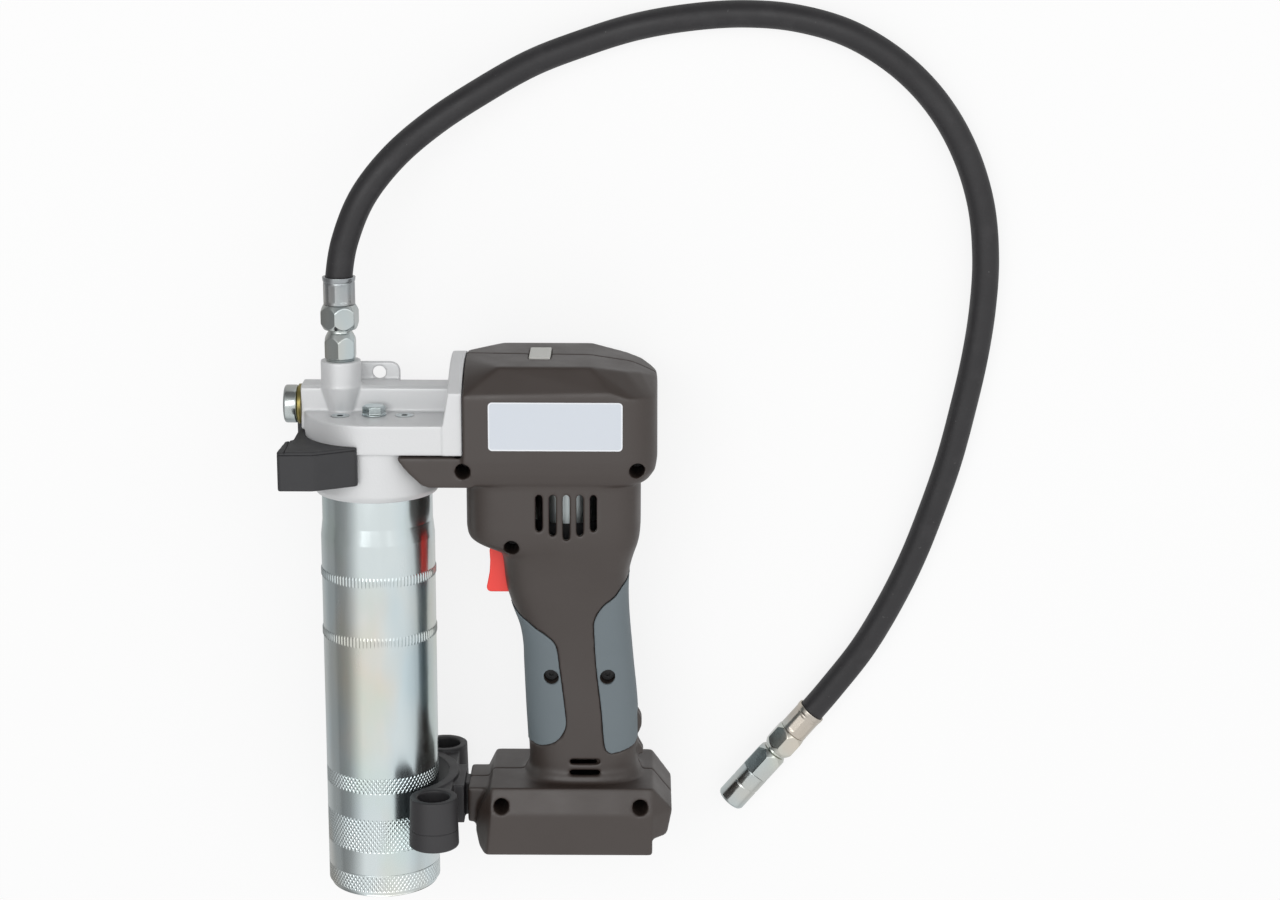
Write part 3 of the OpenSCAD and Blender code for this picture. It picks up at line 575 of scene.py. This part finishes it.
def build_housing(paints):
    body = join(head_solid(0, HOUSING_X), neck_solid(226), grip_solid(), loft([octagon(s) for s in FOOT]),
                box(*RAIL), arm_solid(), *[plate(lug, -STRAP_HALF, STRAP_HALF) for lug in STRAP_LUGS])
    soften(body, HOUSING_VOXEL, 4)
    posts = [keep(rod((x, -45, z), (x, 45, z), 5), copy(body)) for x, z in SCREWS]
    cut(body, head_solid(WALL, HOUSING_X - 4), neck_solid(232, WALL), grip_solid(WALL),
        box(*PACK_ROOM),
        loft([ring([46.9, 56, 142, 29.5, 8]), ring([57.6, 62, 133.5, 25, 8])]),
        loft([ring(GRIP[-1], WALL), ring([55, 75, 131, 20, 2.7], WALL)]))
    join(body, *posts)
    cut(body, box(*GEAR_ROOM),
        rod((0, 0, 194), (0, 0, 236), COLLAR_R + 0.2, sides=128),
        plate(TRIGGER_SLOT, -TRIGGER_HALF, TRIGGER_HALF),
        box(*BUTTON_ROOM))
    for i in range(-2, 3):
        x = MOTOR_X + i * VENT_PITCH
        cut(body, slot_bar(x, VENT_LOW + abs(i) * VENT_STEP, x, VENT_TOP, VENT_W, -60, 60))
    for z in GRIP_SLOTS_Z:
        cut(body, slot_bar(97.6, z, 110.8, z, 2.6, -60, -17))
    for x, z in SCREWS:
        cut(body, rod((x, -60, z), (x, -10, z), WELL_R), rod((x, -11, z), (x, 13, z), 2))
    cut(body, box(*FOOT_STEP), *[box(*slot) for slot in RAIL_SLOTS])
    for points in (PAD_FRONT, PAD_BACK):
        cut(body, cut(pad_band(points, 0.15, 1.5, -3), box(*STRAP_ROOM)))
    front = keep(copy(body), box((0, -80, 0), (200, -0.05, 320)))
    rear = keep(body, box((0, 0.05, 0), (200, 80, 320)))
    for half, node in ((front, "front_housing"), (rear, "rear_housing")):
        soften(half, HOUSING_VOXEL, 2)
        place(half, "shell_" + node, "gun", paints["housing"], [node])


def build_pads(paints):
    for points, which in ((PAD_FRONT, "front"), (PAD_BACK, "back")):
        band = pad_band(points, -0.15, 1.4, -0.4)
        cut(band, box(*STRAP_ROOM))
        for x, z in SCREWS:
            cut(band, rod((x, -60, z), (x, -10, z), WELL_R))
        for side, low, high in (("near", -60, -0.1), ("far", 0.1, 60)):
            half = keep(copy(band), box((0, low, 0), (200, high, 320)))
            soften(half, 0.5, 2)
            node = f"grip_pad_{which}_{side}"
            place(half, "soft_" + node, "gun", paints["pads"], [node])
        bpy.data.objects.remove(band)


# Barrel

BARREL_R = 28.5
NECK_R = 27.6
BARREL_LEN = 222
AROUND = 960
TICKS = 96
KNURLS = 80
KNURL_RISE = 3.0
KNURL_DEPTH = 0.45
TICK_HEIGHT = 0.45
ROW_STEP = 0.3
TUBE_KNURLS = [(24.7, 42.6), (56.4, 64.7)]
TUBE_TICKS = [(133.6, 138.8), (164.7, 169.8)]
CAP_KNURLS = [(3.4, 11.9)]
KNURL_SHARPNESS = 4.5
TICK_ROW_STEP = 1.1
BAND_EDGE = 0.05
TAPER = (186, 194)
CAP_FLOOR = 2.9
CAP_TOP = 12.4
TUBE_STEP = 12.44


def groove(phase):
    """Depth of a V groove across one pitch, 0 to 1."""
    return max(0.0, 1 - KNURL_SHARPNESS * abs(phase - math.floor(phase) - 0.5))


def relief(z, turn, knurls, ticks):
    """How far the skin stands in or out at a height and a share of a turn."""
    for low, high in knurls:
        if low < z < high:
            u, v = turn * KNURLS, z / KNURL_RISE
            return -KNURL_DEPTH * max(groove(u + v), groove(u - v))
    for low, high in ticks:
        if low < z < high:
            return TICK_HEIGHT if (turn * TICKS) % 1 < 0.5 else 0.0
    return 0.0


def turned_skin(outline, knurls, ticks):
    """A lathe shape whose outline runs round in (r, z), with the bands cut or raised on its outside.
    Rows on a band follow each other closely."""
    rows = []
    for k, (r, z) in enumerate(outline):
        r2, z2 = outline[(k + 1) % len(outline)]
        stops = {0.0}
        if abs(r - r2) < 1e-6 and r > 20:
            for low, high in knurls + ticks:
                count = round((high - low) / (ROW_STEP if (low, high) in knurls else TICK_ROW_STEP))
                for i in range(count + 1):
                    share = (low + (high - low) * i / count - z) / (z2 - z)
                    if 0 < share < 1:
                        stops.add(share)
                for edge in (low - BAND_EDGE, high + BAND_EDGE):
                    if 0 < (edge - z) / (z2 - z) < 1:
                        stops.add((edge - z) / (z2 - z))
        rows += [(r + (r2 - r) * s, z + (z2 - z) * s) for s in sorted(stops)]
    outer = max(r for r, z in outline) - 2
    points = []
    for r, z in rows:
        for i in range(AROUND):
            turn = i / AROUND
            out = r + (relief(z, turn, knurls, ticks) if r > outer else 0)
            points.append((out * math.cos(2 * math.pi * turn), out * math.sin(2 * math.pi * turn), z))
    return wrap(points, AROUND)


def rounded(outline, radius, steps=4):
    """An outline with each corner rounded, as points."""
    out = []
    n = len(outline)
    for i in range(n):
        p = Vector(outline[i])
        a = Vector(outline[i - 1]) - p
        b = Vector(outline[(i + 1) % n]) - p
        reach = min(radius, 0.45 * a.length, 0.45 * b.length)
        a = p + a.normalized() * reach
        b = p + b.normalized() * reach
        for s in range(steps + 1):
            t = s / steps
            out.append(tuple((1 - t) ** 2 * a + 2 * t * (1 - t) * p + t * t * b))
    return out


def build_barrel(paints):
    inside = NECK_R - 1
    tube = [(inside, 3), (NECK_R, 3), (NECK_R, TUBE_STEP), (BARREL_R, TUBE_STEP), (BARREL_R, TAPER[0]),
            (NECK_R, TAPER[1]), (NECK_R, BARREL_LEN), (inside, BARREL_LEN)]
    place(turned_skin(rounded(tube, 0.08), TUBE_KNURLS, TUBE_TICKS), "tube_skin", "barrel",
          paints["zinc"], ["barrel_tube"])
    cap = [(5, 0), (BARREL_R - 3, 0), (BARREL_R - 1, 0.9), (BARREL_R, 3), (BARREL_R, CAP_TOP),
           (NECK_R + 0.15, CAP_TOP), (NECK_R + 0.15, CAP_FLOOR), (5, CAP_FLOOR)]
    place(turned_skin(rounded(cap[:3], 0.5) + cap[3:], CAP_KNURLS, []), "cap_skin", "barrel",
          paints["zinc"], ["barrel_end_cap"])


# Castings and mouldings whose CAD shape only needs softer edges

SOFTENED = [
    ("pump_head", 0.55, 4, "cast_head", "cast"),
    ("side_bumper", 0.5, 3, "bumper", "bumper"),
    ("hose_holder", 0.5, 3, "holder", "holder"),
    ("trigger", 0.35, 5, "trigger", "trigger"),
    ("top_button", 0.35, 4, "button", "button"),
]

BUMPER = [(-38.6, -19.5), (-42.2, -24), (-43.4, -45.6), (-42, -47), (-26, -46.5), (-24, -45.6), (-7, -36.6),
          (-6, -35.4), (-6, -28)]
CUP_X = 29
CUP_Y = 39
CUP_LINE = [(12.0, 43.3), (14, 43.3), (14, 43.8), (12.0, 43.8)]
SPRING_HOLE = ((67.0, 0, 171), (73, 0, 171), 4.8)


def bumper_grooves():
    """A line below the top edge, and one on the top face beside each end."""
    inner = BUMPER + [(x, -y) for x, y in reversed(BUMPER)]
    core = loft([[(-25 + (x + 25) * 0.98, y * 0.985, z) for x, y in inner] for z in (230, 245)])
    grooves = [cut(box((-60, -60, 236.7), (-6.6, 60, 237.2)), core)]
    for side in (-1, 1):
        grooves.append(hull([(x + w, side * y, z) for x, y in ((-39.6, 48), (-40.2, 21)) for w in (-0.3, 0.3)
                             for z in (237.7, 240)]))
    return grooves


def cup_grooves():
    """The mould's line round each cup."""
    grooves = []
    for y in (-CUP_Y, CUP_Y):
        line = turned(CUP_LINE)
        line.data.transform(Matrix.Translation((CUP_X, y, 0)))
        grooves.append(keep(line, box((15, min(y, 1.6 * y), 40), (45, max(y, 1.6 * y), 50))))
    return grooves


def spring_hole():
    """The trigger's seat for its spring, as the CAD has it but with room for the wire."""
    return [rod(*SPRING_HOLE)]


GROOVES = {"side_bumper": bumper_grooves, "hose_holder": cup_grooves, "trigger": spring_hole}


def build_softened(paints):
    back = LAY.inverted()
    bodies = frame["record"]["behaviour"]["bodies"]
    for node, voxel, rounds, slot, paint in SOFTENED:
        shape = link("work", nodes[node].data.copy())
        shape.data.transform(back)
        apply(shape, "WELD", merge_threshold=0.001)
        soften(shape, voxel, rounds)
        for cutter in GROOVES.get(node, list)():
            cut(shape, cutter)
        body = next(name for name, members in bodies.items() if node in members)
        place(shape, "soft_" + node, body, paints[paint], [node])


# Label, left bare

LABEL = (58, 123, 237.5, 261.5)
LABEL_R = 2.0
LABEL_T = 0.3
LABEL_RIM = 0.7


def face_y(x):
    """The front face of the head, flat and then round its corner."""
    start = 140 - CORNER_R
    drop = 0 if x < start else CORNER_R - math.sqrt(CORNER_R ** 2 - (x - start) ** 2)
    return -HEAD_HALF + drop


def label_sheet(shrink, proud, sink):
    """A rounded sheet that follows the face, in strips along x."""
    x0, x1, z0, z1 = LABEL[0] + shrink, LABEL[1] - shrink, LABEL[2] + shrink, LABEL[3] - shrink
    r = LABEL_R - shrink
    stops = [x0 + r * (1 - math.cos(math.pi / 2 * i / 8)) for i in range(9)]
    stops += [x0 + r + (x1 - x0 - 2 * r) * i / 20 for i in range(1, 20)]
    stops += [x1 - r * (1 - math.cos(math.pi / 2 * i / 8)) for i in range(8, -1, -1)]
    rings = []
    for x in stops:
        near = max(0.0, x0 + r - x, x - x1 + r)
        trim = r - math.sqrt(max(0.0, r * r - near * near))
        trim = min(trim, r - 0.02)
        y = face_y(x)
        rings.append([(x, y - proud, z0 + trim), (x, y - proud, z1 - trim),
                      (x, y + sink, z1 - trim), (x, y + sink, z0 + trim)])
    return loft(rings)


def build_label(paints):
    for name, shrink, proud, paint in (("label_rim", 0.0, LABEL_T, "label_edge"),
                                       ("label_face", LABEL_RIM, LABEL_T + 0.06, "label")):
        piece = label_sheet(shrink, proud, 0.05)
        place(piece, name, "gun", paints[paint])
        piece.data.shade_flat()


# Hose and its fittings

HOSE_D = 13.4
# The hose's route in the row frame, in millimetres, as in part.scad
HOSE = [(-68.5, 160, 44.3), (-68.5, 172, 43.8), (-65, 190, 43), (-56, 211, 42), (-41, 230, 38), (-22, 246, 32),
        (0, 260, 24.5), (24, 273, 16.5), (48, 282, 10.6), (74, 290, 7.2), (101, 295, 6.8), (128, 297, 6.8),
        (154, 295, 6.8), (180, 287.5, 6.8), (204, 273, 6.8), (223, 254, 6.8), (237, 231, 6.8), (246, 205, 6.8),
        (249.5, 178, 6.8), (249, 152, 6.8), (246, 126, 6.8), (241, 99, 6.8), (235, 72, 6.8), (227, 45, 6.8),
        (218, 19, 6.8), (207, -6, 6.8), (194, -30, 7.1), (179, -51, 8.1), (168.5, -64.5, 8.8),
        (161.2, -73.5, 8.8)]
HOSE_SIDES = 28
BOSS = (-16.6, -1)
BOSS_TOP = 274.5
NUT_Z = 290.1
FERRULE_Z = 302.5
TIP = Matrix.Translation((168.5, -64.5, 8.8)) @ Matrix.Rotation(math.radians(-129.2), 4, "Z") \
    @ Matrix.Rotation(math.radians(90), 4, "Y")
TIP_LAY = Matrix.Scale(MM, 4) @ TIP
OUTLET = LAY @ Matrix.Translation((BOSS[0], BOSS[1], 0))


def build_hose(paints):
    path = smooth_through(HOSE, steps=9)
    rings = []
    for i, p in enumerate(path):
        along = (path[min(i + 1, len(path) - 1)] - path[max(i - 1, 0)]).normalized()
        side = along.cross(Vector((0, 0, 1))).normalized()
        over = side.cross(along)
        turns = [2 * math.pi * k / HOSE_SIDES for k in range(HOSE_SIDES)]
        rings.append([p + HOSE_D / 2 * (math.cos(a) * side + math.sin(a) * over) for a in turns])
    hose = place(loft(rings), "hose_line", "gun", paints["hose"], ["hose"], Matrix.Scale(MM, 4))
    return hose, [p * MM for p in path]


def turned(outline, sides=96):
    """A lathe shape from an outline in (r, z) that runs round the wall."""
    points = [(r * math.cos(2 * math.pi * i / sides), r * math.sin(2 * math.pi * i / sides), z)
              for r, z in outline for i in range(sides)]
    return wrap(points, sides)


def hexagon(across, z0, z1, turn, low_chamfer, high_chamfer, slope=1.9):
    """A hexagon bar with its corners turned off at each end."""
    r = across / math.sqrt(3)
    corners = [(r * math.cos(math.radians(turn + 60 * i)), r * math.sin(math.radians(turn + 60 * i)))
               for i in range(6)]
    bar = loft([[(x, y, z) for x, y in corners] for z in (z0, z1)])
    flat = across / 2
    rise = z1 - z0
    for chamfer, at, way in ((low_chamfer, z0, 1), (high_chamfer, z1, -1)):
        start = flat - chamfer
        keep(bar, rod((0, 0, at), (0, 0, at + way * rise), start, start + slope * rise, sides=96))
    return bar


def bore(piece, radius, z0, z1):
    return cut(piece, rod((0, 0, z0), (0, 0, z1), radius, sides=64))


def crimped(piece, radius, z0, z1, flats=8, depth=0.22):
    """Shallow flats left by the crimping jaws."""
    for i in range(flats):
        a = 2 * math.pi * (i + 0.5) / flats
        x = radius - depth
        jaw = box((x, -radius * 0.34, z0), (x + 4, radius * 0.34, z1))
        jaw.data.transform(Matrix.Rotation(a, 4, "Z"))
        cut(piece, jaw)
    return piece


def build_fittings(paints):
    metal = paints["fitting"]
    r = HOSE_D / 2
    made = []

    def add(piece, name, node, voxel, matrix, paint=metal):
        soften(piece, voxel, 2)
        made.append(place(piece, name, "gun", paint, [node], matrix))

    adapter = join(hexagon(14.7, BOSS_TOP + 1.2, BOSS_TOP + 13.8, 30, -0.6, 1.0, 0.5),
                   rod((0, 0, BOSS_TOP - 10.5), (0, 0, BOSS_TOP + 1.5), 6.5),
                   rod((0, 0, BOSS_TOP + 0.05), (0, 0, BOSS_TOP + 1.45), 6.9),
                   rod((0, 0, BOSS_TOP + 13), (0, 0, BOSS_TOP + 15.5), 6))
    add(bore(adapter, 2.5, BOSS_TOP - 12, BOSS_TOP + 28), "adapter_hex", "outlet_adapter", 0.28, OUTLET)
    nut = hexagon(17, NUT_Z, NUT_Z + 12.4, 22, 0.5, 0.6, 0.55)
    add(bore(nut, 6.05, NUT_Z - 1, NUT_Z + 20), "swivel_nut", "hose_nut", 0.28, OUTLET)
    z = FERRULE_Z
    ferrule = turned([(2.5, z + 0.05), (r + 1.1, z + 0.05), (r + 1.1, z + 10.8), (r + 0.9, z + 11.2),
                      (r + 1.3, z + 11.8), (r + 1.5, z + 13.8), (r + 0.08, z + 13.8), (r + 0.08, z + 2),
                      (2.5, z + 2)])
    add(crimped(ferrule, r + 1.1, z + 1.5, z + 10.4), "crimp_sleeve", "hose_ferrule", 0.26, OUTLET,
        paints["crimp"])
    tip = turned([(r + 0.08, 0), (r + 1, 0), (r + 1, 2.2), (r + 0.7, 2.9), (r + 0.8, 3.4), (r + 0.8, 15.3),
                  (2.5, 15.3), (2.5, 12), (r + 0.08, 12)])
    add(crimped(tip, r + 0.8, 4, 13.5), "tip_sleeve", "tip_ferrule", 0.26, TIP_LAY, paints["crimp"])
    tip_nut = hexagon(15.4, 15.35, 28.85, 10, 0.3, 0.9, 0.55)
    add(bore(tip_nut, 2.5, 10, 40), "tip_swivel", "tip_nut", 0.26, TIP_LAY)
    body = join(hexagon(14.8, 30.3, 45.4, 18, 0.7, -1.2, 0.6), rod((0, 0, 28.9), (0, 0, 31.9), 5.4))
    add(bore(body, 2.5, 20, 60), "coupler_hex", "coupler_body", 0.26, TIP_LAY)
    sleeve = turned([(2.5, 45.45), (7.6, 45.45), (7.6, 53.6), (7.35, 53.9), (7.35, 54.4), (7.6, 54.7),
                     (7.6, 65.45), (6.9, 66.65), (6.3, 66.65), (6.3, 47.45), (2.5, 47.45)])
    add(sleeve, "coupler_shell", "coupler_sleeve", 0.26, TIP_LAY)
    return made


PUMP_AXIS = LAY @ Matrix.Translation((0, 4.5, 251)) @ Matrix.Rotation(math.radians(90), 4, "Y")
BLEED_BOLT = LAY @ Matrix.Translation((0.4, -11.6, 249))


def build_plug_and_bolt(paints):
    plug = turned(rounded([(0.05, -45.5), (9.5, -45.5), (9.5, -38.5), (6.1, -38.5), (6.1, -26),
                           (0.05, -26)], 1.6))
    cut(plug, hexagon(8, -47, -40.5, 0, -3, -3))
    place(plug, "plug_cap", "gun", paints["fitting"], ["outlet_plug"], PUMP_AXIS)
    washer = turned(rounded([(6.2, -38.45), (10, -38.45), (10, -36.55), (6.2, -36.55)], 0.4))
    place(washer, "washer_ring", "gun", paints["washer"], ["sealing_washer"], PUMP_AXIS)
    bolt = join(hexagon(10, 0.8, 4.9, 12, -0.3, 0.3), rod((0, 0, 0.05), (0, 0, 0.95), 6),
                rod((0, 0, -9), (0, 0, 1), 3))
    soften(bolt, 0.2, 2)
    place(bolt, "bolt_head", "gun", paints["fitting"], ["bleed_bolt"], BLEED_BOLT)
    for piece in (plug, washer):
        piece.data.set_sharp_from_angle(angle=math.radians(40))


# CAD nodes that keep their own shape

KEPT = {
    "barrel_seal": "inner", "grease_cartridge": "cartridge", "follower": "follower",
    "valve_spring": "fitting", "valve_ball": "fitting", "pump_piston": "fitting",
    "plate_screws": "fitting", "gear_case": "cast", "motor_can": "motor", "motor_endbell": "inner",
    "motor_rotor": "rotor", "housing_screws": "screw", "trigger_spring": "fitting",
    "switch_body": "inner", "battery_case": "inner", "battery_cells": "cell", "coupler_jaws": "motor",
}
EDGE_MM = 0.25


def dress_kept(paints):
    for node, paint in KEPT.items():
        piece = nodes[node]
        piece.data.materials.clear()
        piece.data.materials.append(paints[paint].material)
        modifier = piece.modifiers.new("edges", "BEVEL")
        modifier.width = EDGE_MM * MM
        modifier.segments = 2
        modifier.limit_method = "ANGLE"
        modifier.angle_limit = math.radians(40)
        piece.data.shade_smooth()
        piece.data.set_sharp_from_angle(angle=math.radians(35))
    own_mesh(nodes["trigger_spring"])


# Floor and light

FLOOR_WHITE = 0.82
FLOOR_SIZE = 8
FLOOR_DROP = 0.0004
# How bright the floor is in reflections, with painted shade on the barrel's side: from x, to x, level at each
FLOOR_REFLECTION_SHADE = (-0.22, 0.0, 0.25, 0.75)


def add_floor():
    """A white floor; in reflections it is darker, most of all on the barrel's side, a painted shade in its
    glow.
    """
    bpy.ops.mesh.primitive_plane_add(size=FLOOR_SIZE, location=(0, 0, -FLOOR_DROP))
    floor = bpy.context.object
    floor.name = "floor"
    material = bpy.data.materials.new("floor_white")
    material.use_nodes = True
    tree = material.node_tree
    shader = tree.nodes["Principled BSDF"]
    shader.inputs["Base Color"].default_value = (0.9, 0.9, 0.9, 1)
    shader.inputs["Roughness"].default_value = 0.9
    shader.inputs["Specular IOR Level"].default_value = 0.0
    glow = tree.nodes.new("ShaderNodeEmission")
    rays = tree.nodes.new("ShaderNodeLightPath")
    split = tree.nodes.new("ShaderNodeSeparateXYZ")
    tree.links.new(tree.nodes.new("ShaderNodeNewGeometry").outputs["Position"], split.inputs[0])
    # Painted shade: the floor's glow in reflections dims towards the barrel's side
    painted_shade = map_range(tree, split.outputs["X"], *FLOOR_REFLECTION_SHADE)
    seen = maths(tree, "MAXIMUM", rays.outputs["Is Camera Ray"], rays.outputs["Is Transmission Ray"])
    glossy = maths(tree, "MAXIMUM", seen, rays.outputs["Is Glossy Ray"])
    tree.links.new(maths(tree, "MAXIMUM", seen, painted_shade), glow.inputs["Strength"])
    share = maths(tree, "MULTIPLY", glossy, FLOOR_WHITE)
    mix_shaders(tree, share, shader.outputs[0], glow.outputs[0], "Material Output")
    floor.data.materials.append(material)


WORLD_LIGHT = 0.92
# How the room's light falls off by direction: axis, from, to, level at each
WORLD_GRADES = [("Z", -0.1, 0.5, 0.6, WORLD_LIGHT), ("Y", 0.45, 0.85, 1.0, 0.25), ("X", -0.85, -0.5, 0.35, 1.0)]


def add_world():
    """A soft white room that is darker beyond the head, on the barrel's side and towards the horizon."""
    world = bpy.data.worlds.new("studio")
    bpy.context.scene.world = world
    world.use_nodes = True
    tree = world.node_tree
    split = tree.nodes.new("ShaderNodeSeparateXYZ")
    tree.links.new(tree.nodes.new("ShaderNodeTexCoord").outputs["Generated"], split.inputs[0])
    level = 1.0
    for axis, *grade in WORLD_GRADES:
        level = maths(tree, "MULTIPLY", level, map_range(tree, split.outputs[axis], *grade))
    light = tree.nodes["Background"]
    light.inputs["Color"].default_value = (1, 1, 1, 1)
    tree.links.new(level, light.inputs["Strength"])
    white = tree.nodes.new("ShaderNodeBackground")
    white.inputs["Strength"].default_value = 1.0
    rays = tree.nodes.new("ShaderNodeLightPath")
    mix_shaders(tree, rays.outputs["Is Camera Ray"], light.outputs[0], white.outputs[0], "World Output")


def add_lamp(name, place_at, target, size, power):
    data = bpy.data.lights.new(name, "AREA")
    data.shape = "RECTANGLE"
    data.size, data.size_y = size
    data.energy = power
    lamp = bpy.data.objects.new(name, data)
    bpy.context.scene.collection.objects.link(lamp)
    lamp.location = place_at
    lamp.rotation_euler = (Vector(target) - Vector(place_at)).to_track_quat("-Z", "Y").to_euler()


def add_light():
    add_world()
    add_lamp("key_softbox", (-0.2, 0.62, 1.65), (0.0, 0.0, 0.05), (1.6, 0.8), 7.4)
    add_lamp("side_softbox", (1.1, 0.5, 1.2), (0.0, 0.0, 0.05), (0.5, 1.4), 1.5)


def main():
    scene = bpy.context.scene
    scene.view_settings.view_transform = "Standard"
    add_camera()
    paints = make_materials()
    hose, path = build_hose(paints)
    fittings = build_fittings(paints)
    build_barrel(paints)
    build_housing(paints)
    build_pads(paints)
    build_softened(paints)
    build_plug_and_bolt(paints)
    build_label(paints)
    dress_kept(paints)
    add_floor()
    add_light()


main()
